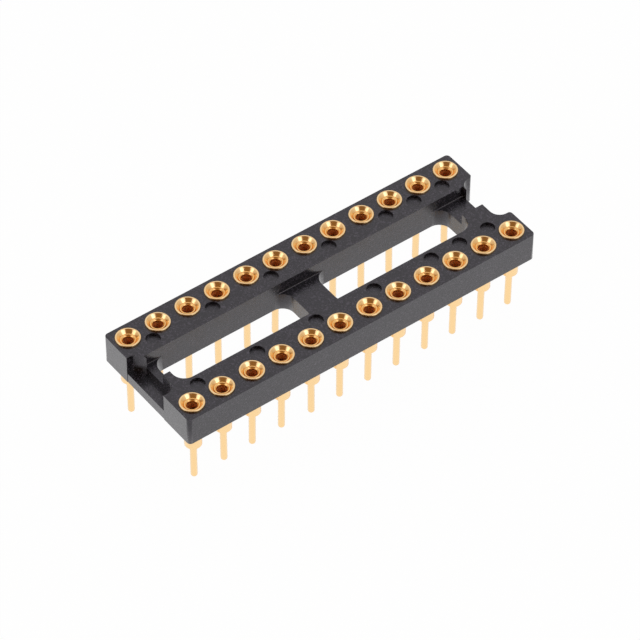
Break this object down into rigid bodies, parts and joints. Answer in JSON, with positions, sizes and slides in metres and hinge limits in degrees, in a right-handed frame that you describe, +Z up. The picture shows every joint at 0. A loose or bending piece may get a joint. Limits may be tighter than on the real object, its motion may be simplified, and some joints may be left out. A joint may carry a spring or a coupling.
{
  "type": "dual-in-line socket",
  "caption": "Open-frame dual-in-line socket with turned round contacts in two rows, spring clips inside and solder tails below, for plugging a chip into a circuit board.",
  "frame": {"origin": "centre of the contact grid in plan, in the plane of the tail tips", "axes": "+Z up, from the tails to the mouths of the contacts; +X along the rows, towards the index notch; +Y towards the row that holds contacts 1 to 12"},
  "size_m": [0.0304, 0.0102, 0.0075],
  "materials": {
    "insulator": "moulded black glass-filled thermoplastic, fine grain",
    "sleeve_gold": "turned brass, gold-plated",
    "clip_gold": "stamped beryllium copper, gold-plated"
  },
  "bodies": {
    "root": {"insulator_frame": "insulator", "contact_sleeve_01": "sleeve_gold", "contact_sleeve_02": "sleeve_gold", "contact_sleeve_03": "sleeve_gold", "contact_sleeve_04": "sleeve_gold", "contact_sleeve_05": "sleeve_gold", "contact_sleeve_06": "sleeve_gold", "contact_sleeve_07": "sleeve_gold", "contact_sleeve_08": "sleeve_gold", "contact_sleeve_09": "sleeve_gold", "contact_sleeve_10": "sleeve_gold", "contact_sleeve_11": "sleeve_gold", "contact_sleeve_12": "sleeve_gold", "contact_sleeve_13": "sleeve_gold", "contact_sleeve_14": "sleeve_gold", "contact_sleeve_15": "sleeve_gold", "contact_sleeve_16": "sleeve_gold", "contact_sleeve_17": "sleeve_gold", "contact_sleeve_18": "sleeve_gold", "contact_sleeve_19": "sleeve_gold", "contact_sleeve_20": "sleeve_gold", "contact_sleeve_21": "sleeve_gold", "contact_sleeve_22": "sleeve_gold", "contact_sleeve_23": "sleeve_gold", "contact_sleeve_24": "sleeve_gold", "contact_clip_01": "clip_gold", "contact_clip_02": "clip_gold", "contact_clip_03": "clip_gold", "contact_clip_04": "clip_gold", "contact_clip_05": "clip_gold", "contact_clip_06": "clip_gold", "contact_clip_07": "clip_gold", "contact_clip_08": "clip_gold", "contact_clip_09": "clip_gold", "contact_clip_10": "clip_gold", "contact_clip_11": "clip_gold", "contact_clip_12": "clip_gold", "contact_clip_13": "clip_gold", "contact_clip_14": "clip_gold", "contact_clip_15": "clip_gold", "contact_clip_16": "clip_gold", "contact_clip_17": "clip_gold", "contact_clip_18": "clip_gold", "contact_clip_19": "clip_gold", "contact_clip_20": "clip_gold", "contact_clip_21": "clip_gold", "contact_clip_22": "clip_gold", "contact_clip_23": "clip_gold", "contact_clip_24": "clip_gold"}
  },
  "joints": []
}
